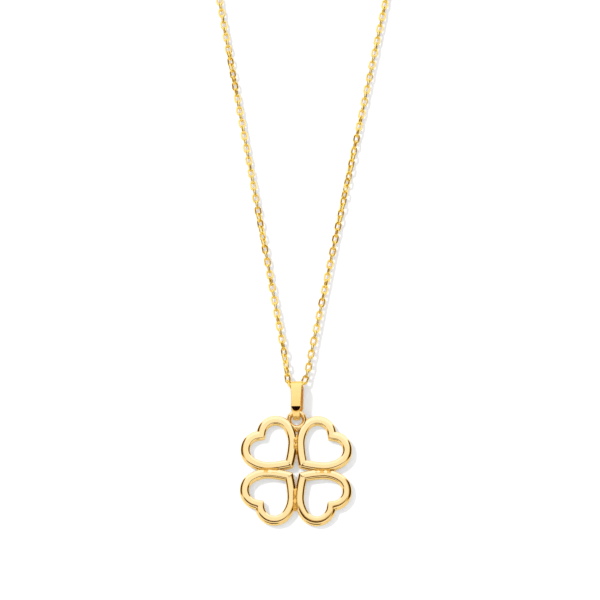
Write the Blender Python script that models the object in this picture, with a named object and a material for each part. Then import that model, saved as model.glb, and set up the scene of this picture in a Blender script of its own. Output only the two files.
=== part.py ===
"""Four leaf clover pendant on a cable chain, laid flat on a surface.

Four openwork hearts are soldered together with their points at the middle, and a round ring is
soldered between the two upper hearts. A tapered bail passes through the ring and round the chain,
and a clasp joins the chain's ends. Metres, +Z up: the surface is z = 0, and +Y runs from the
clover to the clasp. The origin is the middle of the laid out necklace, on the surface.
"""

import math

import bmesh
import bpy
from mathutils import Vector

MM = 0.001

# Heart outline, from its point near the clover's middle to the notch between its lobes
POINT_INSET = 0.58 * MM
SIDE_LEAN = math.radians(16.4)
LOBE_RADIUS = 3.59 * MM
# Arcs of half an outline: radius as a share of LOBE_RADIUS, sweep in degrees, steps
OUTLINE_ARCS = (
    (5.14, 13.8, 5),
    (1.81, 36.8, 5),
    (1.00, 135.8, 12),
)

# Cross-section of a heart's band: flat back, upright walls, round shoulders and a low crown
BAND_WIDTH = 1.70 * MM
BAND_HEIGHT = 1.60 * MM
OUTER_SHOULDER_RUN = 0.52 * MM
OUTER_SHOULDER_DROP = 0.70 * MM
INNER_SHOULDER_RUN = 0.30 * MM
INNER_SHOULDER_DROP = 0.45 * MM
CROWN_RISE = 0.06 * MM
BACK_EDGE = 0.10 * MM
SHOULDER_STEPS = 3

# Solder between neighbouring hearts, from its start to its ends out from the clover's middle,
# which are the right, upper, left and lower one
SOLDER_START = 3.4 * MM
SOLDER_ENDS = (7.2 * MM, 7.0 * MM, 7.1 * MM, 7.7 * MM)
SOLDER_WIDTH = 0.9 * MM
SOLDER_HEIGHT = 0.95 * MM

# Ring soldered between the upper hearts
RING_WIRE = 0.86 * MM
RING_RADIUS = 1.42 * MM
RING_SEAT = 0.73 * MM
RING_STEPS = 32
WIRE_STEPS = 12

# Bail: a flat band bent into a closed loop, wide where it shows and narrow through the ring
BAIL_LENGTH = 7.30 * MM
BAIL_WALL = 0.32 * MM
BAIL_TOP_RADIUS = 1.42 * MM
BAIL_TOP_WIDTH = 2.10 * MM
BAIL_FRONT_END_WIDTH = 1.60 * MM
BAIL_BACK_WIDTH = 2.30 * MM
TONGUE_WIDTH = 1.40 * MM
LOOP_WIDTH = 1.26 * MM
BAIL_EDGE = 0.06 * MM
BAIL_LEAN = math.radians(4.5)
NOSE_SLOPE = math.radians(46)
CREASE_HEIGHT = 2.25 * MM
BEND_STEPS = 9

# Chain: its whole length with the clasp, and the two straight sides from the bail
NECKLACE_LENGTH = 450 * MM
CHAIN_WIDTH = 1.25 * MM
CHAIN_FLOOR_GAP = 0.02 * MM
SIDE_ANGLE = math.radians(10.92)
SIDE_APEX = 8.54 * MM
STRAIGHT_START = 22.0 * MM
RISE_LENGTH = 75 * MM
SIDE_KNOTS = 8
END_KNOTS = 7
KNOT_STEPS = 2
CHAIN_BEVEL_RESOLUTION = 2

# Clasp: a round clasp with a small eye on one side and a jump ring on the other
CLASP_RADIUS = 2.30 * MM
CLASP_WIRE = 1.10 * MM
EYE_RADIUS = 0.80 * MM
EYE_WIRE = 0.56 * MM
JUMP_RING_RADIUS = 1.35 * MM
JUMP_RING_WIRE = 0.70 * MM
CLASP_SEAT = 0.25 * MM

CLEARANCE = 0.30 * MM

# Metal colours: base colour, metallic, roughness
GOLD = ((0.93, 0.72, 0.33, 1.0), 1.0, 0.16)
SATIN_GOLD = ((0.92, 0.70, 0.34, 1.0), 1.0, 0.30)
CHAIN_GOLD = ((0.95, 0.70, 0.22, 1.0), 1.0, 0.20)
CLASP_GOLD = ((0.94, 0.71, 0.30, 1.0), 1.0, 0.22)


def clear_scene():
    """Remove every object, so that the script starts from an empty scene."""
    for item in list(bpy.data.objects):
        bpy.data.objects.remove(item, do_unlink=True)


def new_collection(name):
    """Return a new collection linked to the scene."""
    collection = bpy.data.collections.new(name)
    bpy.context.scene.collection.children.link(collection)
    return collection


def metal(name, finish):
    """Return a Principled material from a finish row."""
    colour, metallic, roughness = finish
    material = bpy.data.materials.new(name)
    material.use_nodes = True
    shader = material.node_tree.nodes["Principled BSDF"]
    shader.inputs["Base Color"].default_value = colour
    shader.inputs["Metallic"].default_value = metallic
    shader.inputs["Roughness"].default_value = roughness
    material.diffuse_color = colour
    return material


def object_from_bmesh(name, mesh_data, collection):
    """Write a bmesh to a new object with its faces pointing out, shaded smooth."""
    bmesh.ops.recalc_face_normals(mesh_data, faces=mesh_data.faces)
    mesh = bpy.data.meshes.new(name)
    mesh_data.to_mesh(mesh)
    mesh_data.free()
    item = bpy.data.objects.new(name, mesh)
    collection.objects.link(item)
    shade(item)
    return item


def shade(item):
    """Shade an object smooth, with its real edges kept sharp."""
    item.data.shade_smooth()
    item.data.set_sharp_from_angle(angle=math.radians(35))


def as_helper(item, helpers):
    """Move an object to the helpers' collection, drawn as wire and left out of renders."""
    for collection in list(item.users_collection):
        collection.objects.unlink(item)
    helpers.objects.link(item)
    item.hide_render = True
    item.display_type = 'WIRE'


def add_boolean(target, operand, operation):
    """Add an exact Boolean modifier to the target."""
    modifier = target.modifiers.new(operation.lower() + " " + operand.name, 'BOOLEAN')
    modifier.operation = operation
    modifier.solver = 'EXACT'
    modifier.object = operand


def loft_closed(sections):
    """Skin a closed row of closed sections with quads, each section an equal list of points."""
    mesh_data = bmesh.new()
    rings = [[mesh_data.verts.new(point) for point in section] for section in sections]
    for number, ring in enumerate(rings):
        following = rings[(number + 1) % len(rings)]
        for corner in range(len(ring)):
            after = (corner + 1) % len(ring)
            mesh_data.faces.new((ring[corner], ring[after], following[after], following[corner]))
    return mesh_data


def torus(name, place, radius, wire, helpers):
    """Add a flat lying ring of round wire."""
    bpy.ops.mesh.primitive_torus_add(
        location=place, major_radius=radius, minor_radius=wire / 2,
        major_segments=RING_STEPS, minor_segments=WIRE_STEPS)
    item = bpy.context.object
    item.name = name
    shade(item)
    as_helper(item, helpers)
    return item


def half_outline():
    """Return half a heart's outline as pairs of a point and its inward offset direction.

    The heart lies in the quarter x > 0, y > 0 and is its own mirror image in the line x = y.
    """
    diagonal = Vector((1, 1)).normalized()
    heading = math.radians(90) + SIDE_LEAN
    point = Vector((POINT_INSET, POINT_INSET))
    stations = [(point, diagonal / math.sin(heading - math.radians(45)))]
    for share, sweep_degrees, steps in OUTLINE_ARCS:
        radius = share * LOBE_RADIUS
        sweep = math.radians(sweep_degrees)
        centre = point + radius * Vector((math.sin(heading), -math.cos(heading)))
        for step in range(1, steps + 1):
            turned = heading - sweep * step / steps
            inward = Vector((math.sin(turned), -math.cos(turned)))
            stations.append((centre - radius * inward, inward))
        point = stations[-1][0]
        heading -= sweep
    run = (point.y - point.x) / (math.cos(heading) - math.sin(heading))
    notch = point + run * Vector((math.cos(heading), math.sin(heading)))
    notch_angle = math.radians(45) - heading
    stations.append((notch, -diagonal / math.sin(notch_angle)))
    return stations


def heart_outline():
    """Return the whole outline: the half, then its mirror image without the two shared ends."""
    half = half_outline()
    mirrored = [(Vector((p.y, p.x)), Vector((d.y, d.x))) for p, d in reversed(half[1:-1])]
    return half + mirrored


def lobe_centre():
    """Return the centre of the lobe whose crest points along +Y."""
    point, inward = half_outline()[-2]
    return point + LOBE_RADIUS * inward


def band_profile():
    """Return the band's cross-section as pairs of inward offset and height."""
    profile = [(BACK_EDGE, 0), (0, BACK_EDGE)]
    top = BAND_HEIGHT - CROWN_RISE
    for step in range(SHOULDER_STEPS + 1):
        angle = math.radians(90) * step / SHOULDER_STEPS
        offset = OUTER_SHOULDER_RUN * (1 - math.cos(angle))
        profile.append((offset, top - OUTER_SHOULDER_DROP * (1 - math.sin(angle))))
    profile.append(((OUTER_SHOULDER_RUN + BAND_WIDTH - INNER_SHOULDER_RUN) / 2, BAND_HEIGHT))
    for step in range(SHOULDER_STEPS + 1):
        angle = math.radians(90) * step / SHOULDER_STEPS
        offset = BAND_WIDTH - INNER_SHOULDER_RUN * (1 - math.sin(angle))
        profile.append((offset, top - INNER_SHOULDER_DROP * (1 - math.cos(angle))))
    profile += [(BAND_WIDTH, BACK_EDGE), (BAND_WIDTH - BACK_EDGE, 0)]
    return profile


def make_heart(name, quarter_turns, collection):
    """Loft one heart's band round its outline and turn it to its quarter of the clover."""
    profile = band_profile()
    sections = []
    for point, inward in heart_outline():
        places = [(point + offset * inward, height) for offset, height in profile]
        sections.append([(place.x, place.y, height) for place, height in places])
    heart = object_from_bmesh(name, loft_closed(sections), collection)
    heart.rotation_euler.z = math.radians(90) * quarter_turns
    return heart


def make_solder(name, quarter_turns, helpers):
    """Add the low bar of solder between two neighbouring hearts."""
    end = SOLDER_ENDS[quarter_turns]
    middle = (SOLDER_START + end) / 2
    turn = math.radians(90) * quarter_turns
    mesh_data = bmesh.new()
    bmesh.ops.create_cube(mesh_data, size=1)
    length = end - SOLDER_START
    height = SOLDER_HEIGHT - BACK_EDGE
    bmesh.ops.scale(mesh_data, vec=(length, SOLDER_WIDTH, height), verts=mesh_data.verts)
    bar = object_from_bmesh(name, mesh_data, helpers)
    bar.location = (middle * math.cos(turn), middle * math.sin(turn), BACK_EDGE + height / 2)
    bar.rotation_euler.z = turn
    as_helper(bar, helpers)
    return bar


def ring_centre():
    """Return the soldered ring's centre, resting RING_SEAT deep in the two upper lobes."""
    lobe = lobe_centre()
    reach = LOBE_RADIUS + RING_RADIUS + RING_WIRE / 2 - RING_SEAT
    height = loop_outer_radius() + bail_lift()
    return Vector((0, lobe.y + math.sqrt(reach ** 2 - lobe.x ** 2), height))


def make_clover(parts, helpers):
    """Join four hearts, their solder and the ring into one solid."""
    clover = make_heart("clover", 0, parts)
    for turns in range(1, 4):
        heart = make_heart("heart_%d" % turns, turns, helpers)
        as_helper(heart, helpers)
        add_boolean(clover, heart, 'UNION')
    for turns in range(4):
        add_boolean(clover, make_solder("solder_%d" % turns, turns, helpers), 'UNION')
    ring = torus("ring", ring_centre(), RING_RADIUS, RING_WIRE, helpers)
    add_boolean(clover, ring, 'UNION')
    clover.data.materials.append(metal("polished gold", GOLD))
    return clover


def loop_outer_radius():
    """Return the outer radius of the bail's bend round the ring's wire."""
    return RING_WIRE / 2 + CLEARANCE + BAIL_WALL


def bail_lift():
    """Return how far the lean raises the bail's middle above the surface."""
    return BAIL_BACK_WIDTH / 2 * math.sin(BAIL_LEAN)


def bail_base():
    """Return the Y of the bail's lower end: the bend lies under the ring's uppermost wire."""
    return ring_centre().y + RING_RADIUS - loop_outer_radius()


def bail_sections():
    """Return the bail band's sections round its loop, in its own frame.

    The frame has y = 0 at the lower end, and the back lies on z = 0. Each row of the path is a
    point of the band's middle line, the direction out of the loop there, and the band's width.
    """
    middle = BAIL_WALL / 2
    low_radius = loop_outer_radius() - middle
    top_radius = BAIL_TOP_RADIUS - middle
    low_centre = Vector((loop_outer_radius(), loop_outer_radius()))
    top_centre = Vector((BAIL_LENGTH - BAIL_TOP_RADIUS, BAIL_TOP_RADIUS))
    path = []

    def bend(centre, radius, start_degrees, widths):
        for step in range(BEND_STEPS + 1):
            part = step / BEND_STEPS
            angle = math.radians(start_degrees - 180 * part)
            outward = Vector((math.cos(angle), math.sin(angle)))
            width = widths[0] + (widths[1] - widths[0]) * part
            path.append((centre + radius * outward, outward, width))

    bend(low_centre, low_radius, -90, (LOOP_WIDTH, LOOP_WIDTH))
    tongue_height = low_centre.y + low_radius
    front_height = top_centre.y + top_radius
    path.append((Vector((CREASE_HEIGHT - BAIL_WALL, tongue_height)), Vector((0, 1)), TONGUE_WIDTH))
    path.append((Vector((CREASE_HEIGHT + BAIL_WALL, front_height)), Vector((0, 1)),
                 BAIL_FRONT_END_WIDTH))
    bend(top_centre, top_radius, 90, (BAIL_TOP_WIDTH, BAIL_BACK_WIDTH))
    path.append((Vector((CREASE_HEIGHT, middle)), Vector((0, -1)), BAIL_BACK_WIDTH))
    return [band_section(*row) for row in path]


def band_section(middle, outward, width):
    """Return a chamfered rectangle across the bail's band."""
    half_width = width / 2
    half_wall = BAIL_WALL / 2
    corners = (
        (half_width, half_wall - BAIL_EDGE), (half_width - BAIL_EDGE, half_wall),
        (BAIL_EDGE - half_width, half_wall), (-half_width, half_wall - BAIL_EDGE),
        (-half_width, BAIL_EDGE - half_wall), (BAIL_EDGE - half_width, -half_wall),
        (half_width - BAIL_EDGE, -half_wall), (half_width, BAIL_EDGE - half_wall))
    section = []
    for across, out in corners:
        place = middle + out * outward
        section.append((across, place.x, place.y))
    return section


def make_bail(parts, helpers):
    """Make the bail: the looped band with a round nose, cut to a sloping facet at the crease."""
    bail = object_from_bmesh("bail", loft_closed(bail_sections()), parts)
    bail.data.materials.append(metal("satin gold", SATIN_GOLD))
    nose_radius = BAIL_FRONT_END_WIDTH / 2
    nose_top = 2 * BAIL_TOP_RADIUS
    nose_bottom = 2 * loop_outer_radius() - BAIL_WALL / 2
    bpy.ops.mesh.primitive_cylinder_add(
        vertices=24, radius=nose_radius, depth=nose_top - nose_bottom,
        location=(0, CREASE_HEIGHT + BAIL_EDGE, (nose_top + nose_bottom) / 2))
    nose = bpy.context.object
    nose.name = "bail_nose"
    as_helper(nose, helpers)
    facet_size = 2 * BAIL_TOP_WIDTH
    bpy.ops.mesh.primitive_cube_add(size=facet_size)
    facet = bpy.context.object
    facet.name = "bail_facet"
    facet.rotation_euler.x = NOSE_SLOPE
    half = facet_size / 2
    facet.location = (
        0,
        CREASE_HEIGHT - half * math.sin(NOSE_SLOPE) - half * math.cos(NOSE_SLOPE),
        nose_top + half * math.cos(NOSE_SLOPE) - half * math.sin(NOSE_SLOPE))
    as_helper(facet, helpers)
    add_boolean(nose, facet, 'DIFFERENCE')
    add_boolean(bail, nose, 'UNION')
    holder = bpy.data.objects.new("bail_place", None)
    parts.objects.link(holder)
    for item in (bail, nose, facet):
        item.parent = holder
    holder.location = (BAIL_TOP_RADIUS * math.sin(BAIL_LEAN), bail_base(), bail_lift())
    holder.rotation_euler.y = -BAIL_LEAN
    return holder


def smooth_points(knots, steps):
    """Return points on a smooth curve through the knots, steps to each span."""
    points = []
    last = len(knots) - 1
    for number in range(last):
        before = knots[max(number - 1, 0)]
        start, end = knots[number], knots[number + 1]
        after = knots[min(number + 2, last)]
        span = (end - start).length
        start_slope = (end - before) * span / (span + (start - before).length)
        end_slope = (after - start) * span / (span + (after - end).length)
        for step in range(steps):
            t = step / steps
            points.append(
                (2 * t ** 3 - 3 * t ** 2 + 1) * start + (t ** 3 - 2 * t ** 2 + t) * start_slope
                + (3 * t ** 2 - 2 * t ** 3) * end + (t ** 3 - t ** 2) * end_slope)
    points.append(knots[last])
    return points


def chain_height(along):
    """Return the height of the chain's middle line at a distance above the bail."""
    resting = CHAIN_WIDTH / 2 + CHAIN_FLOOR_GAP
    in_bail = 2 * bail_lift() + BAIL_WALL + CLEARANCE + resting
    return resting + (in_bail - resting) * max(0, 1 - along / RISE_LENGTH)


def half_route(end_radius, end_x):
    """Return the knots of half the chain's route, from the middle of the bail to the clasp."""
    turn_half = BAIL_TOP_WIDTH / 2 + CLEARANCE + CHAIN_WIDTH / 2
    bail_top = bail_base() + BAIL_LENGTH
    turn_y = bail_top - BAIL_WALL - CLEARANCE - CHAIN_WIDTH
    flat = [Vector((0, turn_y)), Vector((0.62 * turn_half, turn_y + 0.16 * turn_half)),
            Vector((turn_half, turn_y + 0.72 * turn_half)),
            Vector((1.07 * turn_half, turn_y + 1.5 * turn_half))]
    end_centre_y = SIDE_APEX + end_radius / math.sin(SIDE_ANGLE)
    tangent = Vector((end_radius * math.cos(SIDE_ANGLE),
                      end_centre_y - end_radius * math.sin(SIDE_ANGLE)))
    start = Vector(((STRAIGHT_START - SIDE_APEX) * math.tan(SIDE_ANGLE), STRAIGHT_START))
    for step in range(SIDE_KNOTS + 1):
        flat.append(start.lerp(tangent, step / SIDE_KNOTS))
    sweep = math.radians(90) + SIDE_ANGLE - math.asin(end_x / end_radius)
    for step in range(1, END_KNOTS + 1):
        angle = sweep * step / END_KNOTS - SIDE_ANGLE
        flat.append(Vector((end_radius * math.cos(angle),
                            end_centre_y + end_radius * math.sin(angle))))
    return [Vector((place.x, place.y, chain_height(place.y - turn_y))) for place in flat]


def path_length(points):
    """Return the length of a row of points."""
    return sum((b - a).length for a, b in zip(points, points[1:]))


def solve_end_radius():
    """Return the radius of the chain's far end that gives the necklace its whole length."""
    per_radius = 1 / math.tan(SIDE_ANGLE) + math.radians(90) + SIDE_ANGLE
    radius = NECKLACE_LENGTH / 2 / per_radius
    for _ in range(3):
        measured = path_length(smooth_points(half_route(radius, 0), KNOT_STEPS))
        radius += (NECKLACE_LENGTH / 2 - measured) / per_radius
    return radius


def clasp_centre(end_radius):
    """Return the clasp's centre, at the far end of the chain."""
    return Vector((0, SIDE_APEX + end_radius / math.sin(SIDE_ANGLE) + end_radius, CLASP_WIRE / 2))


def eye_offset():
    """Return how far the eye's centre lies from the clasp's."""
    return CLASP_RADIUS + CLASP_WIRE / 2 + EYE_RADIUS + EYE_WIRE / 2 - CLASP_SEAT


def jump_ring_offset():
    """Return how far the jump ring's centre lies from the clasp's."""
    return CLASP_RADIUS + CLASP_WIRE / 2 + JUMP_RING_RADIUS + JUMP_RING_WIRE / 2 - CLASP_SEAT


def make_chain(parts, end_radius):
    """Make the chain's outer form: one round tube from the clasp's eye to its jump ring."""
    left_end = eye_offset() + EYE_RADIUS + EYE_WIRE / 2 + CLEARANCE
    right_end = jump_ring_offset() + JUMP_RING_RADIUS + JUMP_RING_WIRE / 2 + CLEARANCE
    left = smooth_points(half_route(end_radius, left_end), KNOT_STEPS)
    right = smooth_points(half_route(end_radius, right_end), KNOT_STEPS)
    points = [Vector((-p.x, p.y, p.z)) for p in reversed(left[1:])] + right
    curve = bpy.data.curves.new("chain", 'CURVE')
    curve.dimensions = '3D'
    curve.bevel_depth = CHAIN_WIDTH / 2
    curve.bevel_resolution = CHAIN_BEVEL_RESOLUTION
    curve.use_fill_caps = True
    spline = curve.splines.new('POLY')
    spline.points.add(len(points) - 1)
    for place, point in zip(points, spline.points):
        point.co = (place.x, place.y, place.z, 1)
    chain = bpy.data.objects.new("chain", curve)
    parts.objects.link(chain)
    chain.data.materials.append(metal("chain gold", CHAIN_GOLD))
    return chain


def make_clasp(parts, helpers, end_radius):
    """Make the clasp as one plain piece: a round clasp, its eye and its jump ring."""
    centre = clasp_centre(end_radius)
    clasp = torus("clasp", centre, CLASP_RADIUS, CLASP_WIRE, helpers)
    helpers.objects.unlink(clasp)
    parts.objects.link(clasp)
    clasp.hide_render = False
    clasp.display_type = 'TEXTURED'
    eye_place = centre - Vector((eye_offset(), 0, 0))
    eye = torus("clasp_eye", eye_place, EYE_RADIUS, EYE_WIRE, helpers)
    ring_place = centre + Vector((jump_ring_offset(), 0, 0))
    jump_ring = torus("clasp_jump_ring", ring_place, JUMP_RING_RADIUS, JUMP_RING_WIRE, helpers)
    for item in (eye, jump_ring):
        add_boolean(clasp, item, 'UNION')
    clasp.data.materials.append(metal("clasp gold", CLASP_GOLD))
    return clasp


def main():
    clear_scene()
    parts = new_collection("clover_necklace")
    helpers = new_collection("cutters")
    end_radius = solve_end_radius()
    made = [make_clover(parts, helpers), make_bail(parts, helpers), make_chain(parts, end_radius),
            make_clasp(parts, helpers, end_radius)]
    lowest_y = -(lobe_centre().y + LOBE_RADIUS)
    highest_y = clasp_centre(end_radius).y + CLASP_RADIUS + CLASP_WIRE / 2
    holder = bpy.data.objects.new("necklace", None)
    parts.objects.link(holder)
    for item in made + [piece for piece in helpers.objects if piece.parent is None]:
        item.parent = holder
    holder.location.y = -(lowest_y + highest_y) / 2


main()
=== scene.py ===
"""Looks of the four leaf clover pendant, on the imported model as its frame.

The clover, the bail, the chain and the clasp are each replaced by a finely made mesh in the same
place: polished hearts with solder between them, a satin bail, interlocking chain links and a
spring ring clasp. Metres, +Z up, the surface at z = 0.
"""

import math
import random

import bmesh
import bpy
from mathutils import Matrix, Vector


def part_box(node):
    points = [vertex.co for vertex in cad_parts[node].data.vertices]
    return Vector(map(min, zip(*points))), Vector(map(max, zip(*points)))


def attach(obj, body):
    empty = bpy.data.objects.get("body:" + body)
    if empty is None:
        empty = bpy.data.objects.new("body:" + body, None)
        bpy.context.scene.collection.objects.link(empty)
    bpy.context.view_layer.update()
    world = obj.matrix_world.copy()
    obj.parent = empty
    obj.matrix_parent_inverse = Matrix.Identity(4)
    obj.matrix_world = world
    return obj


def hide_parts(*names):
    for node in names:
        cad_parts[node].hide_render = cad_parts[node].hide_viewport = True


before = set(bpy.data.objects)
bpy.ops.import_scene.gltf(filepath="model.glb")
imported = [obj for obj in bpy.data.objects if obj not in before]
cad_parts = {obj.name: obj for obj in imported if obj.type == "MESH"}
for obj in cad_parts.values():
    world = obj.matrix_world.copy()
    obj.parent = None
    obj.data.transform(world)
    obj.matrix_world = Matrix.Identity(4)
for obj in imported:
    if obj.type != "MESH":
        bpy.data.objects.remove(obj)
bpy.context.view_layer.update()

MM = 0.001

# Places read from the frame
CLOVER_LOW, CLOVER_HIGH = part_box("clover")
BAIL_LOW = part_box("bail")[0]
CHAIN_LOW, CHAIN_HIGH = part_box("chain")
CLASP_LOW, CLASP_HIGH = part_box("clasp")
CLOVER_CENTRE = Vector((0, CLOVER_LOW.y + CLOVER_HIGH.x, 0))

# Edges sharper than this many degrees stay crisp
SHARP_DEGREES = 35
BAIL_SHARP_DEGREES = 12
LINK_SHARP_DEGREES = 24

# Heart outline, from its point near the clover's middle to the notch between its lobes
POINT_INSET = 0.58 * MM
SIDE_LEAN = math.radians(16.4)
LOBE_RADIUS = 3.59 * MM
# Arcs of half an outline: radius as a share of LOBE_RADIUS, sweep in degrees, steps
OUTLINE_ARCS = (
    (5.14, 13.8, 12),
    (1.81, 36.8, 14),
    (1.00, 135.8, 44),
)

# Cross-section of a heart's band: its crest lies nearer the inner edge
BAND_WIDTH = 1.73 * MM
CREST_OFFSET = 1.06 * MM
OUTER_DROP = 0.62 * MM
INNER_DROP = 0.57 * MM
SHOULDER_POWER = 3.8
SHOULDER_STEPS = 14
EDGE_INSET = 0.002 * MM
BACK_EDGE = 0.10 * MM
BACK_EDGE_STEPS = 3
# Slopes of each heart as it was soldered, along X and Y: upper right, upper left, and on round
HEART_TILTS = ((0.029, -0.010), (0.039, 0.0), (0.0, 0.016), (0.0, 0.034))
# How far each was soldered off its even place, in mm
HEART_SHIFTS = ((0.0, -0.08), (0.0, -0.13), (0.0, 0.0), (0.0, 0.0))

# Solder between neighbouring hearts: the right, upper, left and lower joint, each with its start
# and end from the clover's centre, its half width, how far it has crept over one of its two
# hearts, and its height, in mm
SOLDER_RUNS = (
    (3.15, 7.2, 0.43, -0.21, 1.61),
    (3.40, 6.75, 0.36, 0.17, 1.61),
    (3.10, 7.1, 0.43, 0.21, 1.61),
    (3.35, 7.7, 0.36, -0.17, 1.61),
)
SOLDER_STEPS = 36
SOLDER_ACROSS = (-1, -0.66, -0.33, 0, 0.33, 0.66, 1)
SOLDER_HOLLOW = 0.05 * MM
# How full a run is at its ends, as shares of its width and height, and how blunt they are
SOLDER_END_WIDTH = 0.35
SOLDER_END_HEIGHT = 0.72
SOLDER_END_POWER = 6
# Its lumps: waves laid over one another, each with a drawn start and rate
SOLDER_SEED = 20
SOLDER_LUMP = 0.015 * MM
LUMP_WAVES = 3
LUMP_STARTS = (0, 6.28)
LUMP_RATES = (0.7, 1.6)
LUMP_TURN = 14
# Beads of solder below the ring, in mm: x, y from the clover's centre, half width, top
SOLDER_BEADS = (
    (-0.32, 8.02, 0.48, 1.36),
    (0.34, 7.96, 0.50, 1.34),
    (0.02, 7.66, 0.40, 1.24),
)
BEAD_DEPTH_SHARE = 0.85
BEAD_STEPS = 32

# Ring soldered between the upper hearts
RING_WIRE = 0.92 * MM
RING_RADIUS = 1.45 * MM
RING_SEAT = 0.76 * MM
RING_HEIGHT = 0.88 * MM
RING_SHIFT = 0.06 * MM
RING_STEPS = 72
WIRE_STEPS = 24

# Bail: a band bent into a loop, wide where it shows and narrow through the ring
BAIL_LENGTH = 7.30 * MM
BAIL_WALL = 0.32 * MM
BAIL_TOP_RADIUS = 1.405 * MM
BAIL_TOP_WIDTH = 2.04 * MM
BAIL_FRONT_END_WIDTH = 1.75 * MM
BAIL_BACK_WIDTH = 2.30 * MM
TONGUE_WIDTH = 1.50 * MM
LOOP_WIDTH = 1.34 * MM
LOOP_SQUARENESS = 6.0
LOOP_OUTER_RADIUS = 0.94 * MM
BAIL_SHIFT = Vector((-0.07 * MM, -0.25 * MM, -EDGE_INSET))
BAIL_LEAN = math.radians(5.0)
BAIL_EDGE = 0.05 * MM
BAIL_EDGE_STEPS = 3
BEND_STEPS = 20
NOSE_SLOPE = math.radians(36)
NOSE_DEPTH = 0.95
NOSE_STEPS = 96
CREASE_HEIGHT = 2.25 * MM

# Chain links: a wire of flattened section, bent to a long loop
CHAIN_WIDTH = 1.34 * MM
LINK_LENGTH = 2.00 * MM
LINK_WIRE = 0.35 * MM
LINK_THICKNESS = 0.46 * MM
LINK_PITCH = 1.297 * MM
LINK_STATIONS = 20
LINK_SIDES = 8
LINK_FACE_HALF = 0.20 * MM
LINK_SIDE_CUT = 0.03 * MM

# Chain's route: through the bail, up two straight sides and round the hidden bend to the clasp
BAIL_ROUTE = (
    (-1.72, 17.0), (-1.52, 16.35), (-1.05, 15.89), (-0.4, 15.79), (0.2, 15.84),
    (0.7, 16.01), (1.03, 16.29), (1.27, 16.8), (1.60, 17.7), (1.95, 18.9),
)  # in mm from the clover's centre, from the left side to the right
BAIL_ROUTE_TOP = CLOVER_CENTRE.y + BAIL_ROUTE[4][1] * MM
SIDE_ANGLE = math.radians(10.92)
STRAIGHT_START = 22.0 * MM
HIDDEN_START = 115 * MM
SIDE_MARGIN = 0.05 * MM
CHAIN_LEFT_END = 4.20 * MM
CHAIN_RIGHT_END = 5.30 * MM
SIDE_KNOTS = 40
END_KNOTS = 24
CURVE_STEPS = 12
HALVINGS = 24
CHORD_SHARE = 0.9998  # a link's straight length against its share of the curved route
CHAIN_REST_HEIGHT = 0.675 * MM
CHAIN_BAIL_HEIGHT = 1.10 * MM
RISE_LENGTH = 22 * MM

# How the links lie turned about the chain's length, in radians: a slow wave along Y with its
# rate for each metre, a small random turn of each link, and the twisted stretches, with their
# low and high Y in metres, their side and their turn
WAVE_TURN = 0.10
WAVE_RATE = 95
WAVE_START = 1.3
CHAIN_SEED = 7
LINK_TURN_SPREAD = 0.09
TWISTS = (
    (-0.0920, -0.0790, -1, 0.75),
    (-0.0625, -0.0535, -1, 0.70),
    (-0.0310, -0.0200, -1, 0.70),
    (-0.0610, -0.0360, 1, 0.75),
)

# Clasp: a spring ring with its eye on the left, its jump ring on the right, and its lever
CLASP_RADIUS = 2.298 * MM
CLASP_WIRE = 1.10 * MM
EYE_RADIUS = 0.80 * MM
EYE_WIRE = 0.56 * MM
JUMP_RING_RADIUS = 1.35 * MM
JUMP_RING_WIRE = 0.70 * MM
LEVER_PLACE = Vector((-2.16 * MM, 2.16 * MM, 0))
LEVER_RADIUS = 0.42 * MM
LEVER_STEPS = 24

# Golds: base colour, roughness, how far that varies, scratch strength, scale of the pattern for
# each metre, and share of painted bounce light, an orange diffuse layer for light between golds
GOLDS = {
    "polished gold": ((1.0, 0.77, 0.39), 0.06, 0.02, 0.05, 2500, 0.03),
    "solder gold": ((0.82, 0.50, 0.12), 0.24, 0.05, 0.5, 2500, 0.2),
    "ring gold": ((1.0, 0.77, 0.38), 0.20, 0.04, 0.2, 2500, 0.15),
    "satin gold": ((0.97, 0.74, 0.29), 0.17, 0.04, 0.3, 4000, 0.2),
    "bright cut gold": ((1.0, 0.73, 0.30), 0.04, 0.02, 0.05, 2500, 0.0),
    "chain gold": ((1.0, 0.86, 0.27), 0.20, 0.04, 0.2, 3000, 0.2),
    "clasp gold": ((1.0, 0.75, 0.30), 0.14, 0.04, 0.2, 2500, 0.0),
}
# The deeper tint of the pattern, as shares of the base's green and blue
TINT_GREEN = 0.96
TINT_BLUE = 0.88
PATTERN_DETAIL = 4.0
PATTERN_RANGE = (0.3, 0.7)
SCRATCH_DEPTH = 0.00001
# How far the gold lets the room's soft light through to the floor, and the colour it gives back,
# so that the shadows keep the photograph's flat plain grey
SOFT_LIGHT_SHARE = 0.7
BOUNCE_COLOUR = (0.88, 0.92, 1.0)
# Painted bounce light: the deep orange colour that stands in for light going from gold to gold
PAINTED_BOUNCE_COLOUR = (1.0, 0.47, 0.06)

# Floor: its own colour, and a painted reflection, the dimmer and warmer colour gold reflects it as
FLOOR_COLOUR = (0.90, 0.90, 0.90)
FLOOR_PAINTED_REFLECTION = (0.92, 0.80, 0.47)
FLOOR_ROUGHNESS = 0.9
FLOOR_HALF = 3.0
FLOOR_GAP = 0.02 * MM

# What the gold reflects: soft cards in the sky, each with its middle's azimuth (0 is +X, 90 is
# +Y) and elevation, half its width and height, all in degrees, the softness of its edge as a
# share of its size, and its brightness
SKY_LEVEL = 1.18
CARDS = (
    ("front", 270, 15, 90, 62, 0.45, 0.86),
    ("right_low", 340, 40, 45, 26, 0.30, 0.85),
    ("front_low", 258, 40, 22, 20, 0.12, 0.01),
    ("right_flag", 17, 23, 26, 53, 0.12, 0.01),
    ("left_flag", 159, 13, 24, 55, 0.12, 0.02),
    ("lens", 268, 57, 12, 8, 0.12, 0.01),
    ("streak", 190, 83, 5, 15, 0.20, 0.04),
)
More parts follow.
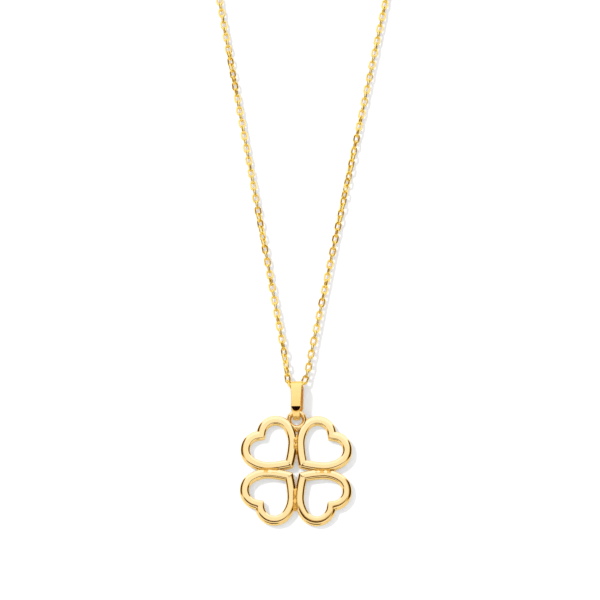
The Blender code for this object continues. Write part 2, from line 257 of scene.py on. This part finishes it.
# The studio's contrast: the powers that turn a brightness into red, green and blue
CONTRAST = (1.0, 1.5, 2.9)
ROOM_LIGHT = 1.0
WHITE = (1.0, 1.0, 1.0)

# Key light
KEY_ENERGY = 1.4
KEY_ANGLE = math.radians(6)
KEY_TOWARD = Vector((-0.56, 0.39, 0.75))

# Camera
CAMERA_TILT = math.radians(15)
CAMERA_ROLL = math.radians(0.726)
CAMERA_DISTANCE = 469 * MM
CAMERA_TARGET = Vector((0.313 * MM, 33.28 * MM, 0))
CAMERA_LENS = 147.0
CAMERA_SENSOR = 36
CAMERA_NEAR = 0.01
CAMERA_FAR = 20


# Meshes


def mesh_object(name, mesh_data, materials, sharp_degrees=SHARP_DEGREES):
    """Write a bmesh to a new object, faces out, smooth with its real edges sharp."""
    bmesh.ops.recalc_face_normals(mesh_data, faces=mesh_data.faces)
    mesh = bpy.data.meshes.new(name)
    mesh_data.to_mesh(mesh)
    mesh_data.free()
    item = bpy.data.objects.new(name, mesh)
    bpy.context.scene.collection.objects.link(item)
    for material in materials:
        mesh.materials.append(material)
    mesh.shade_smooth()
    mesh.set_sharp_from_angle(angle=math.radians(sharp_degrees))
    return item


def skin_rings(mesh_data, rings, closed, material_index=0):
    """Skin a row of closed point rings with quads; a closed row also joins its two ends."""
    loops = [[mesh_data.verts.new(point) for point in ring] for ring in rings]
    count = len(loops) if closed else len(loops) - 1
    for number in range(count):
        ring, following = loops[number], loops[(number + 1) % len(loops)]
        for corner in range(len(ring)):
            after = (corner + 1) % len(ring)
            face = mesh_data.faces.new(
                (ring[corner], ring[after], following[after], following[corner]))
            face.material_index = material_index
    if not closed:
        for ring in (loops[0], loops[-1]):
            face = mesh_data.faces.new(ring)
            face.material_index = material_index


def torus(name, centre, radius, wire, gold):
    """Make a flat lying ring of round wire."""
    rings = []
    for step in range(RING_STEPS):
        angle = math.tau * step / RING_STEPS
        outward = Vector((math.cos(angle), math.sin(angle), 0))
        ring = []
        for side in range(WIRE_STEPS):
            around = math.tau * side / WIRE_STEPS
            ring.append(centre + (radius + wire / 2 * math.cos(around)) * outward
                        + Vector((0, 0, wire / 2 * math.sin(around))))
        rings.append(ring)
    mesh_data = bmesh.new()
    skin_rings(mesh_data, rings, closed=True)
    return mesh_object(name, mesh_data, [gold])


def ball(name, centre, half_sizes, steps, gold):
    """Make a ball or an oval of three half sizes."""
    mesh_data = bmesh.new()
    bmesh.ops.create_uvsphere(mesh_data, u_segments=steps, v_segments=steps // 2, radius=1)
    mesh_data.transform(Matrix.Translation(centre) @ Matrix.Diagonal((*half_sizes, 1)))
    return mesh_object(name, mesh_data, [gold])


def joined(target, others, sharp_degrees=SHARP_DEGREES):
    """Unite closed meshes with the target and remove them."""
    for other in others:
        modifier = target.modifiers.new("join " + other.name, 'BOOLEAN')
        modifier.operation = 'UNION'
        modifier.solver = 'MANIFOLD'
        modifier.object = other
    bpy.context.view_layer.update()
    graph = bpy.context.evaluated_depsgraph_get()
    mesh = bpy.data.meshes.new_from_object(target.evaluated_get(graph))
    target.modifiers.clear()
    old = target.data
    target.data = mesh
    mesh.name = old.name
    bpy.data.meshes.remove(old)
    for other in others:
        bpy.data.meshes.remove(other.data)
    mesh.shade_smooth()
    mesh.set_sharp_from_angle(angle=math.radians(sharp_degrees))
    return target


# Clover


def half_outline():
    """Return half a heart's outline as pairs of a point and its inward offset direction."""
    diagonal = Vector((1, 1)).normalized()
    heading = math.radians(90) + SIDE_LEAN
    point = Vector((POINT_INSET, POINT_INSET))
    stations = [(point, diagonal / math.sin(heading - math.radians(45)))]
    for share, sweep_degrees, steps in OUTLINE_ARCS:
        radius = share * LOBE_RADIUS
        sweep = math.radians(sweep_degrees)
        centre = point + radius * Vector((math.sin(heading), -math.cos(heading)))
        for step in range(1, steps + 1):
            bearing = heading - sweep * step / steps
            inward = Vector((math.sin(bearing), -math.cos(bearing)))
            stations.append((centre - radius * inward, inward))
        point = stations[-1][0]
        heading -= sweep
    run = (point.y - point.x) / (math.cos(heading) - math.sin(heading))
    notch = point + run * Vector((math.cos(heading), math.sin(heading)))
    notch_angle = math.radians(45) - heading
    stations.append((notch, -diagonal / math.sin(notch_angle)))
    return stations


def heart_outline():
    """Return the whole outline: the half, then its mirror image without the two shared ends."""
    half = half_outline()
    mirrored = [(Vector((point.y, point.x)), Vector((inward.y, inward.x)))
                for point, inward in reversed(half[1:-1])]
    return half + mirrored


def lobe_centre():
    """Return the centre of the lobe whose crest points along +Y, from the clover's centre."""
    point, inward = half_outline()[-2]
    return point + LOBE_RADIUS * inward


def shoulder(run, drop):
    """Return a shoulder's points as distance from the crest and drop below it, crest first."""
    points = []
    for step in range(SHOULDER_STEPS + 1):
        angle = math.radians(90) * step / SHOULDER_STEPS
        along = math.sin(angle) ** (2 / SHOULDER_POWER)
        rise = math.cos(angle) ** (2 / SHOULDER_POWER)
        points.append((run * along, drop * (1 - rise)))
    return points


def band_profile():
    """Return the band's cross-section as pairs of inward offset and height."""
    height = CLOVER_HIGH.z
    turns = [math.radians(90) * step / BACK_EDGE_STEPS for step in range(BACK_EDGE_STEPS + 1)]
    profile = [(EDGE_INSET + BACK_EDGE * (1 - math.sin(angle)), BACK_EDGE * (1 - math.cos(angle)))
               for angle in turns]
    outer = shoulder(CREST_OFFSET - EDGE_INSET, OUTER_DROP)
    profile += [(CREST_OFFSET - away, height - drop) for away, drop in reversed(outer)]
    inner = shoulder(BAND_WIDTH - CREST_OFFSET, INNER_DROP)
    profile += [(CREST_OFFSET + away, height - drop) for away, drop in inner[1:]]
    profile += [(BAND_WIDTH - BACK_EDGE * (1 - math.cos(angle)), BACK_EDGE * (1 - math.sin(angle)))
                for angle in turns]
    return profile


def turned(x, y, turns):
    """Turn a point of the first quarter to its own quarter."""
    angle = math.radians(90) * turns
    return Vector((x * math.cos(angle) - y * math.sin(angle),
                   x * math.sin(angle) + y * math.cos(angle)))


def clover_point(x, y, height, turns):
    """Place a point of a quarter in the frame."""
    place = turned(x, y, turns)
    return CLOVER_CENTRE + Vector((place.x, place.y, height))


def heart_point(x, y, height, turns, highest):
    """Place a point of a heart, lowered in the ratio of its height by the heart's tilt."""
    place = turned(x, y, turns)
    lowered = highest - Vector(HEART_TILTS[turns]).dot(place)
    shift = Vector(HEART_SHIFTS[turns]) * MM
    return CLOVER_CENTRE + Vector((place.x + shift.x, place.y + shift.y,
                                   height * (1 - lowered / CLOVER_HIGH.z)))


def make_heart(turns, gold):
    """Loft one heart's band round its outline."""
    profile = band_profile()
    outline = heart_outline()
    tilt = Vector(HEART_TILTS[turns])
    highest = max(tilt.dot(turned(point.x, point.y, turns)) for point, _ in outline)
    rings = []
    for point, inward in outline:
        places = [(point + offset * inward, height) for offset, height in profile]
        rings.append([heart_point(place.x, place.y, height, turns, highest)
                      for place, height in places])
    mesh_data = bmesh.new()
    skin_rings(mesh_data, rings, closed=True)
    return mesh_object("heart_%d" % turns, mesh_data, [gold])


def make_solder(turns, golds):
    """Loft the low, slightly hollow and uneven run of solder between two hearts."""
    dice = random.Random(SOLDER_SEED + turns)
    start, end, half_width, creep, height = (value * MM for value in SOLDER_RUNS[turns])
    lumps = [(dice.uniform(*LUMP_STARTS), dice.uniform(*LUMP_RATES)) for _ in range(LUMP_WAVES)]
    rings = []
    for step in range(SOLDER_STEPS + 1):
        part = step / SOLDER_STEPS
        along = start + (end - start) * part
        taper = math.sqrt(max(0.0, 1 - (2 * part - 1) ** SOLDER_END_POWER))
        lump = SOLDER_LUMP * sum(
            math.sin(phase + LUMP_TURN * rate * part) for phase, rate in lumps)
        half = half_width * (SOLDER_END_WIDTH + (1 - SOLDER_END_WIDTH) * taper)
        top = height * (SOLDER_END_HEIGHT + (1 - SOLDER_END_HEIGHT) * taper) + lump
        middle = creep * taper
        ring = [(along, middle - half, BACK_EDGE)]
        for across in SOLDER_ACROSS:
            hollow = SOLDER_HOLLOW * (1 - across * across)
            ring.append((along, middle + half * across, top - hollow))
        ring.append((along, middle + half, BACK_EDGE))
        rings.append([clover_point(x, y, z, turns) for x, y, z in ring])
    mesh_data = bmesh.new()
    skin_rings(mesh_data, rings, closed=False, material_index=1)
    return mesh_object("solder_%d" % turns, mesh_data, golds)


def solder_bead(x, y, half_width, top, gold):
    """Make one rounded bead of solder on the floor, its sizes in mm."""
    place = CLOVER_CENTRE + Vector((x, y, top / 2)) * MM
    half_sizes = Vector((half_width, half_width * BEAD_DEPTH_SHARE, top / 2)) * MM
    return ball("solder_bead", place, half_sizes, BEAD_STEPS, gold)


def ring_centre():
    """Return the soldered ring's centre in the frame."""
    lobe = lobe_centre()
    reach = LOBE_RADIUS + RING_RADIUS + RING_WIRE / 2 - RING_SEAT
    middle_y = lobe.y + math.sqrt(reach ** 2 - lobe.x ** 2) + RING_SHIFT
    return CLOVER_CENTRE + Vector((0, middle_y, RING_HEIGHT))


def make_clover(polished, solder, soft):
    """Join four hearts, their solder and the ring, in place of the plain clover."""
    clover = make_heart(0, polished)
    clover.name = "clover_hearts"
    clover.data.materials.append(solder)
    others = [make_heart(turns, polished) for turns in range(1, 4)]
    others += [make_solder(turns, (polished, solder)) for turns in range(4)]
    others += [solder_bead(*bead, soft) for bead in SOLDER_BEADS]
    clover.data.materials.append(soft)
    others.append(torus("ring", ring_centre(), RING_RADIUS, RING_WIRE, soft))
    return joined(clover, others)


# Bail


def band_section(middle, outward, width):
    """Return a rounded rectangle across the bail's band."""
    corner_across = width / 2 - BAIL_EDGE
    corner_out = BAIL_WALL / 2 - BAIL_EDGE
    section = []
    for quarter, (side, face) in enumerate(((1, 1), (-1, 1), (-1, -1), (1, -1))):
        for step in range(BAIL_EDGE_STEPS + 1):
            angle = math.radians(90) * (quarter + step / BAIL_EDGE_STEPS)
            across = side * corner_across + BAIL_EDGE * math.cos(angle)
            place = middle + (face * corner_out + BAIL_EDGE * math.sin(angle)) * outward
            section.append((across, place.x, place.y))
    return section


def bend_rows(centre, radius, start_degrees, widths, power):
    """Return half a turn of the band, round for power 2 and squarer above it."""
    rows = []
    for step in range(BEND_STEPS + 1):
        part = step / BEND_STEPS
        angle = math.radians(start_degrees - 180 * part)
        across, rise = math.cos(angle), math.sin(angle)
        place = Vector((math.copysign(abs(across) ** (2 / power), across),
                        math.copysign(abs(rise) ** (2 / power), rise)))
        outward = Vector((math.copysign(abs(place.x) ** (power - 1), across),
                          math.copysign(abs(place.y) ** (power - 1), rise))).normalized()
        width = widths[0] + (widths[1] - widths[0]) * part
        rows.append((centre + radius * place, outward, width))
    return rows


def bail_sections():
    """Return the bail band's sections round its loop, in its own frame."""
    middle = BAIL_WALL / 2
    low_radius = LOOP_OUTER_RADIUS - middle
    top_radius = BAIL_TOP_RADIUS - middle
    low_centre = Vector((LOOP_OUTER_RADIUS, LOOP_OUTER_RADIUS))
    top_centre = Vector((BAIL_LENGTH - BAIL_TOP_RADIUS, BAIL_TOP_RADIUS))
    tongue_end = Vector((CREASE_HEIGHT - BAIL_WALL, low_centre.y + low_radius))
    front_end = Vector((CREASE_HEIGHT + BAIL_WALL, top_centre.y + top_radius))
    back_end = Vector((CREASE_HEIGHT, middle))
    up = Vector((0, 1))
    rows = bend_rows(low_centre, low_radius, -90, (LOOP_WIDTH, LOOP_WIDTH), LOOP_SQUARENESS)
    rows.append((tongue_end, up, TONGUE_WIDTH))
    rows.append((front_end, up, BAIL_FRONT_END_WIDTH))
    rows += bend_rows(top_centre, top_radius, 90, (BAIL_TOP_WIDTH, BAIL_BACK_WIDTH), 2)
    rows.append((back_end, -up, BAIL_BACK_WIDTH))
    return [band_section(*row) for row in rows]


def bail_matrix():
    """Return the transform from the bail's own frame to the row frame."""
    lift = BAIL_BACK_WIDTH / 2 * math.sin(BAIL_LEAN)
    place = Vector((BAIL_TOP_RADIUS * math.sin(BAIL_LEAN), BAIL_LOW.y, lift))
    return Matrix.Translation(place + BAIL_SHIFT) @ Matrix.Rotation(-BAIL_LEAN, 4, 'Y')


def make_nose(satin, mirror):
    """Make the front's round nose, cut to a bright sloping facet."""
    top = 2 * BAIL_TOP_RADIUS
    bottom = 2 * LOOP_OUTER_RADIUS - BAIL_WALL / 2
    radius = BAIL_FRONT_END_WIDTH / 2
    mesh_data = bmesh.new()
    bmesh.ops.create_cone(mesh_data, cap_ends=True, segments=NOSE_STEPS, radius1=radius,
                          radius2=radius, depth=top - bottom)
    bmesh.ops.scale(mesh_data, verts=mesh_data.verts, vec=(1, NOSE_DEPTH, 1))
    bmesh.ops.translate(mesh_data, verts=mesh_data.verts,
                        vec=(0, CREASE_HEIGHT + BAIL_EDGE, (top + bottom) / 2))
    slope = Vector((0, -math.sin(NOSE_SLOPE), math.cos(NOSE_SLOPE)))
    cut = bmesh.ops.bisect_plane(
        mesh_data, geom=mesh_data.verts[:] + mesh_data.edges[:] + mesh_data.faces[:],
        plane_co=(0, CREASE_HEIGHT, top), plane_no=slope, clear_outer=True)
    rim = [item for item in cut["geom_cut"] if isinstance(item, bmesh.types.BMEdge)]
    for face in bmesh.ops.contextual_create(mesh_data, geom=rim)["faces"]:
        face.material_index = 1
    return mesh_object("bail_nose", mesh_data, [satin, mirror])


def make_bail(satin, mirror):
    """Make the bail: a looped band and its nose."""
    mesh_data = bmesh.new()
    skin_rings(mesh_data, bail_sections(), closed=True)
    bail = mesh_object("bail_band", mesh_data, [satin, mirror], BAIL_SHARP_DEGREES)
    bail = joined(bail, [make_nose(satin, mirror)], BAIL_SHARP_DEGREES)
    bail.data.transform(bail_matrix())
    return bail


# Chain


def smooth_points(knots, steps):
    """Return points on a smooth curve through the knots, steps to each span."""
    points = []
    last = len(knots) - 1
    for number in range(last):
        before = knots[max(number - 1, 0)]
        start, end = knots[number], knots[number + 1]
        after = knots[min(number + 2, last)]
        span = (end - start).length
        start_slope = (end - before) * span / (span + (start - before).length)
        end_slope = (after - start) * span / (span + (after - end).length)
        for step in range(steps):
            t = step / steps
            points.append(
                (2 * t ** 3 - 3 * t ** 2 + 1) * start + (t ** 3 - 2 * t ** 2 + t) * start_slope
                + (3 * t ** 2 - 2 * t ** 3) * end + (t ** 3 - t ** 2) * end_slope)
    points.append(knots[last])
    return points


def chain_height(y):
    """Return the height of the chain's middle line at a Y of the frame."""
    share = max(0.0, min(1.0, 1 - (y - BAIL_ROUTE_TOP) / RISE_LENGTH))
    return CHAIN_REST_HEIGHT + (CHAIN_BAIL_HEIGHT - CHAIN_REST_HEIGHT) * share


def clasp_centre():
    """Return the clasp's centre in the frame."""
    return Vector((0, (CLASP_LOW.y + CLASP_HIGH.y) / 2, CLASP_HIGH.z / 2))


def side_of_chain(end_x):
    """Return one side's knots from the bail's side to the clasp, for x > 0."""
    radius = (CHAIN_HIGH.x - CHAIN_LOW.x) / 2 - CHAIN_WIDTH / 2 - SIDE_MARGIN
    centre_y = clasp_centre().y - radius
    apex = centre_y - radius / math.sin(SIDE_ANGLE)
    start_y = CLOVER_CENTRE.y + STRAIGHT_START
    start = Vector(((start_y - apex) * math.tan(SIDE_ANGLE), start_y))
    tangent = Vector((radius * math.cos(SIDE_ANGLE), centre_y - radius * math.sin(SIDE_ANGLE)))
    knots = [start.lerp(tangent, step / SIDE_KNOTS) for step in range(SIDE_KNOTS + 1)]
    sweep = math.radians(90) + SIDE_ANGLE - math.asin(end_x / radius)
    for step in range(1, END_KNOTS + 1):
        angle = sweep * step / END_KNOTS - SIDE_ANGLE
        knots.append(Vector((radius * math.cos(angle), centre_y + radius * math.sin(angle))))
    return knots


def chain_route():
    """Return dense points along the whole chain, from the clasp's eye to its jump ring."""
    left = [Vector((-knot.x, knot.y)) for knot in reversed(side_of_chain(CHAIN_LEFT_END))]
    middle = [CLOVER_CENTRE.xy + Vector(place) * MM for place in BAIL_ROUTE]
    flat = left + middle + side_of_chain(CHAIN_RIGHT_END)
    knots = [Vector((place.x, place.y, chain_height(place.y))) for place in flat]
    return smooth_points(knots, CURVE_STEPS)


def stepped(points, pitch):
    """Return places along a path whose straight distances are all one pitch."""
    places = [points[0].copy()]
    for start, end in zip(points, points[1:]):
        while (end - places[-1]).length >= pitch:
            low, high = 0.0, 1.0
            for _ in range(HALVINGS):
                share = (low + high) / 2
                if (start.lerp(end, share) - places[-1]).length < pitch:
                    low = share
                else:
                    high = share
            places.append(start.lerp(end, high))
            start = places[-1]
    return places


def link_places(route):
    """Return the links' ends along the route: even up to the hidden stretch, fitted from there.

    The first and the last link stand on edge, as both hang in a flat ring.
    """
    hidden_y = CLOVER_CENTRE.y + HIDDEN_START
    cut = max(number for number, place in enumerate(route) if place.x > 0 and place.y < hidden_y)
    places = stepped(route[:cut], LINK_PITCH)
    rest = [places[-1]] + route[cut:]
    length = sum((after - before).length for before, after in zip(rest, rest[1:]))
    count = round(length / LINK_PITCH)
    if (len(places) - 1 + count) % 2 == 0:
        count += 1
    return places + stepped(rest, length / count * CHORD_SHARE)[1:]


def link_rings():
    """Return one link's wire sections, its length along X, its width along Y."""
    end_radius = (CHAIN_WIDTH - LINK_WIRE) / 2
    straight = (LINK_LENGTH - LINK_WIRE) / 2 - end_radius
    side_half = CHAIN_WIDTH / 2 - LINK_SIDE_CUT
    rings = []
    for station in range(LINK_STATIONS):
        angle = math.tau * (station + 0.5) / LINK_STATIONS
        outward = Vector((math.cos(angle), math.sin(angle), 0))
        middle = end_radius * outward
        middle.x += straight if outward.x > 0 else -straight
        ring = []
        for side in range(LINK_SIDES):
            around = math.tau * (side + 0.5) / LINK_SIDES
            place = middle + LINK_WIRE / 2 * math.cos(around) * outward
            rise = LINK_THICKNESS / 2 * math.sin(around)
            place.z = max(-LINK_FACE_HALF, min(LINK_FACE_HALF, rise))
            place.y = max(-side_half, min(side_half, place.y))
            ring.append(place)
        rings.append(ring)
    return rings


def twist_at(place):
    """Return how far the chain is turned about its own length at a place of its route."""
    turn = WAVE_TURN * math.sin(place.y * WAVE_RATE + WAVE_START)
    side = -1 if place.x < 0 else 1
    for low, high, wanted, amount in TWISTS:
        if side == wanted:
            middle, half = (low + high) / 2, (high - low) / 2
            turn += amount * max(0.0, 1 - ((place.y - middle) / half) ** 2)
    return turn


def make_chain(gold):
    """Make every link of the chain as one mesh, each other link on edge."""
    dice = random.Random(CHAIN_SEED)
    places = link_places(chain_route())
    shape = link_rings()
    mesh_data = bmesh.new()
    for number, (start, end) in enumerate(zip(places, places[1:])):
        middle = (start + end) / 2
        along = (end - start).normalized()
        across = Vector((0, 0, 1)).cross(along).normalized()
        up = along.cross(across)
        frame_matrix = Matrix((along, across, up)).transposed().to_4x4()
        quarter = 0 if number % 2 else math.radians(90)
        turn = quarter + twist_at(middle) + dice.gauss(0, LINK_TURN_SPREAD)
        matrix = Matrix.Translation(middle) @ frame_matrix @ Matrix.Rotation(turn, 4, 'X')
        rings = [[matrix @ point for point in ring] for ring in shape]
        skin_rings(mesh_data, rings, closed=True)
    return mesh_object("chain_links", mesh_data, [gold], LINK_SHARP_DEGREES)


# Clasp


def make_clasp(gold):
    """Make the spring ring clasp with its eye, jump ring and thumb lever."""
    centre = clasp_centre()
    clasp = torus("clasp_ring", centre, CLASP_RADIUS, CLASP_WIRE, gold)
    eye_place = Vector((CLASP_LOW.x + EYE_RADIUS + EYE_WIRE / 2, centre.y, centre.z))
    jump_place = Vector((CLASP_HIGH.x - JUMP_RING_RADIUS - JUMP_RING_WIRE / 2, centre.y,
                         centre.z))
    eye = torus("clasp_eye", eye_place, EYE_RADIUS, EYE_WIRE, gold)
    jump = torus("clasp_jump", jump_place, JUMP_RING_RADIUS, JUMP_RING_WIRE, gold)
    lever = ball("clasp_lever", centre + LEVER_PLACE, [LEVER_RADIUS] * 3, LEVER_STEPS, gold)
    return joined(clasp, [eye, jump, lever])


# Materials


def set_input(links, socket, value):
    """Give a shader input a link, a colour or a number."""
    if isinstance(value, bpy.types.NodeSocket):
        links.new(value, socket)
    elif isinstance(value, tuple):
        socket.default_value = (*value, 1)
    else:
        socket.default_value = value


def colour_mix(tree, factor, first, second):
    """Add a mix of two colours and return its output."""
    mix = tree.nodes.new("ShaderNodeMix")
    mix.data_type = 'RGBA'
    set_input(tree.links, mix.inputs["Factor"], factor)
    set_input(tree.links, mix.inputs["A"], first)
    set_input(tree.links, mix.inputs["B"], second)
    return mix.outputs["Result"]


def shader_mix(tree, factor, first, second):
    """Add a mix of two shaders and return its output."""
    mix = tree.nodes.new("ShaderNodeMixShader")
    set_input(tree.links, mix.inputs["Fac"], factor)
    tree.links.new(first, mix.inputs[1])
    tree.links.new(second, mix.inputs[2])
    return mix.outputs["Shader"]


def calculated(tree, operation, first, second=0.0):
    """Add a sum on one or two values and return its output."""
    node = tree.nodes.new("ShaderNodeMath")
    node.operation = operation
    set_input(tree.links, node.inputs[0], first)
    set_input(tree.links, node.inputs[1], second)
    return node.outputs[0]


def along_axis(tree, direction, axis):
    """Add a dot product of a direction with a fixed axis and return its output."""
    dot = tree.nodes.new("ShaderNodeVectorMath")
    dot.operation = 'DOT_PRODUCT'
    dot.inputs[1].default_value = axis
    tree.links.new(direction, dot.inputs[0])
    return dot.outputs["Value"]


def new_material(name):
    """Return a new material, its node tree and its main shader."""
    material = bpy.data.materials.new(name)
    material.use_nodes = True
    return material, material.node_tree, material.node_tree.nodes["Principled BSDF"]


def gold_material(name, base, roughness, spread, scratch, scale, painted_bounce_share):
    """Return a gold with fine uneven polish, and painted bounce light between close wires."""
    material, tree, shader = new_material(name)
    nodes, links = tree.nodes, tree.links
    shader.inputs["Metallic"].default_value = 1.0
    where = nodes.new("ShaderNodeTexCoord")
    noise = nodes.new("ShaderNodeTexNoise")
    noise.inputs["Scale"].default_value = scale
    noise.inputs["Detail"].default_value = PATTERN_DETAIL
    links.new(where.outputs["Object"], noise.inputs["Vector"])
    pattern = noise.outputs["Fac"]

    rough = nodes.new("ShaderNodeMapRange")
    rough.inputs["From Min"].default_value = PATTERN_RANGE[0]
    rough.inputs["From Max"].default_value = PATTERN_RANGE[1]
    rough.inputs["To Min"].default_value = roughness - spread
    rough.inputs["To Max"].default_value = roughness + spread
    links.new(pattern, rough.inputs["Value"])
    links.new(rough.outputs["Result"], shader.inputs["Roughness"])

    red, green, blue = base
    tint = colour_mix(tree, pattern, base, (red, green * TINT_GREEN, blue * TINT_BLUE))
    lit_softly = nodes.new("ShaderNodeLightPath").outputs["Is Diffuse Ray"]
    colour = colour_mix(tree, lit_softly, tint, BOUNCE_COLOUR)
    links.new(colour, shader.inputs["Base Color"])

    bump = nodes.new("ShaderNodeBump")
    bump.inputs["Strength"].default_value = scratch
    bump.inputs["Distance"].default_value = SCRATCH_DEPTH
    links.new(pattern, bump.inputs["Height"])
    links.new(bump.outputs["Normal"], shader.inputs["Normal"])

    # Painted bounce light: an orange diffuse layer for light reflected between close gold wires
    painted_bounce = nodes.new("ShaderNodeBsdfDiffuse")
    painted_bounce.inputs["Color"].default_value = (*PAINTED_BOUNCE_COLOUR, 1)
    gold = shader_mix(tree, painted_bounce_share, shader.outputs["BSDF"], painted_bounce.outputs["BSDF"])
    clear = nodes.new("ShaderNodeBsdfTransparent").outputs["BSDF"]
    let_through = calculated(tree, 'MULTIPLY', lit_softly, SOFT_LIGHT_SHARE)
    links.new(shader_mix(tree, let_through, gold, clear), nodes["Material Output"].inputs["Surface"])
    return material


# Studio


def make_floor():
    """Lay the plain pale floor, with a dimmer and warmer painted reflection of it in gold."""
    mesh_data = bmesh.new()
    bmesh.ops.create_grid(mesh_data, x_segments=1, y_segments=1, size=FLOOR_HALF)
    material, tree, shader = new_material("floor")
    shader.inputs["Roughness"].default_value = FLOOR_ROUGHNESS
    shader.inputs["Specular IOR Level"].default_value = 0.0
    # Painted reflection: glossy rays from gold see the floor dimmer and warmer than it is
    painted_reflection_ray = tree.nodes.new("ShaderNodeLightPath").outputs["Is Glossy Ray"]
    colour = colour_mix(tree, painted_reflection_ray, FLOOR_COLOUR, FLOOR_PAINTED_REFLECTION)
    tree.links.new(colour, shader.inputs["Base Color"])
    floor = mesh_object("floor", mesh_data, [material])
    floor.location.z = -FLOOR_GAP


def card_factor(tree, direction, azimuth, elevation, half_width, half_height, softness):
    """Return the node socket that is 1 inside a soft oval card of the sky and 0 outside."""
    around, above = math.radians(azimuth), math.radians(elevation)
    middle = Vector((math.cos(around) * math.cos(above), math.sin(around) * math.cos(above),
                     math.sin(above)))
    side = Vector((-math.sin(around), math.cos(around), 0))
    squares = []
    for axis, half in ((side, half_width), (middle.cross(side), half_height)):
        distance = along_axis(tree, direction, axis / math.sin(math.radians(min(half, 90))))
        squares.append(calculated(tree, 'POWER', calculated(tree, 'ABSOLUTE', distance), 2))
    edge = tree.nodes.new("ShaderNodeMapRange")
    edge.interpolation_type = 'SMOOTHSTEP'
    edge.inputs["From Min"].default_value = (1 - softness) ** 2
    edge.inputs["From Max"].default_value = (1 + softness) ** 2
    edge.inputs["To Min"].default_value = 1
    edge.inputs["To Max"].default_value = 0
    tree.links.new(calculated(tree, 'ADD', *squares), edge.inputs["Value"])
    in_front = calculated(tree, 'GREATER_THAN', along_axis(tree, direction, middle), 0)
    return calculated(tree, 'MULTIPLY', edge.outputs["Result"], in_front)


def make_world():
    """Build the soft studio: what gold reflects, what lights the floor, and white behind."""
    world = bpy.data.worlds.new("studio")
    bpy.context.scene.world = world
    world.use_nodes = True
    tree = world.node_tree
    direction = tree.nodes.new("ShaderNodeTexCoord").outputs["Generated"]
    level = SKY_LEVEL
    for name, azimuth, elevation, half_width, half_height, softness, brightness in CARDS:
        mix = tree.nodes.new("ShaderNodeMix")
        mix.label = name
        set_input(tree.links, mix.inputs["Factor"], card_factor(
            tree, direction, azimuth, elevation, half_width, half_height, softness))
        set_input(tree.links, mix.inputs["A"], level)
        mix.inputs["B"].default_value = brightness
        level = mix.outputs["Result"]
    cards = tree.nodes.new("ShaderNodeCombineColor")
    for channel, power in zip(("Red", "Green", "Blue"), CONTRAST):
        tree.links.new(calculated(tree, 'POWER', level, power), cards.inputs[channel])
    path = tree.nodes.new("ShaderNodeLightPath")
    seen = colour_mix(tree, path.outputs["Is Glossy Ray"], (ROOM_LIGHT,) * 3,
                      cards.outputs["Color"])
    shown = colour_mix(tree, path.outputs["Is Camera Ray"], seen, WHITE)
    tree.links.new(shown, tree.nodes["Background"].inputs["Color"])


def make_key_light():
    """Add the soft key from the upper left, which only lights and casts the shadow."""
    data = bpy.data.lights.new("key", 'SUN')
    data.energy = KEY_ENERGY
    data.angle = KEY_ANGLE
    light = bpy.data.objects.new("key", data)
    light.visible_glossy = False
    bpy.context.scene.collection.objects.link(light)
    light.rotation_mode = 'QUATERNION'
    light.rotation_quaternion = KEY_TOWARD.to_track_quat('Z', 'Y')


def make_camera():
    """Place the camera at the photograph's angle, slightly rolled."""
    across = Vector((math.cos(CAMERA_ROLL), math.sin(CAMERA_ROLL), 0))
    forward = Vector((-math.sin(CAMERA_ROLL), math.cos(CAMERA_ROLL), 0))
    back = -math.sin(CAMERA_TILT) * forward + math.cos(CAMERA_TILT) * Vector((0, 0, 1))
    up = back.cross(across)
    data = bpy.data.cameras.new("camera")
    data.lens = CAMERA_LENS
    data.sensor_width = CAMERA_SENSOR
    data.clip_start = CAMERA_NEAR
    data.clip_end = CAMERA_FAR
    camera = bpy.data.objects.new("camera", data)
    bpy.context.scene.collection.objects.link(camera)
    place = CLOVER_CENTRE + CAMERA_TARGET + CAMERA_DISTANCE * back
    matrix = Matrix((across, up, back)).transposed().to_4x4()
    camera.matrix_world = Matrix.Translation(place) @ matrix
    bpy.context.scene.camera = camera


def dress(piece, node):
    """Let a piece ride on the part's root and stand for its node, which is hidden."""
    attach(piece, "root")
    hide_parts(node)


def main():
    """Build the studio and every piece."""
    bpy.context.scene.view_settings.view_transform = 'Standard'
    make_camera()
    make_world()
    make_key_light()
    make_floor()
    gold = {name: gold_material(name, *finish) for name, finish in GOLDS.items()}
    clover = make_clover(gold["polished gold"], gold["solder gold"], gold["ring gold"])
    dress(clover, "clover")
    dress(make_bail(gold["satin gold"], gold["bright cut gold"]), "bail")
    dress(make_chain(gold["chain gold"]), "chain")
    dress(make_clasp(gold["clasp gold"]), "clasp")


main()
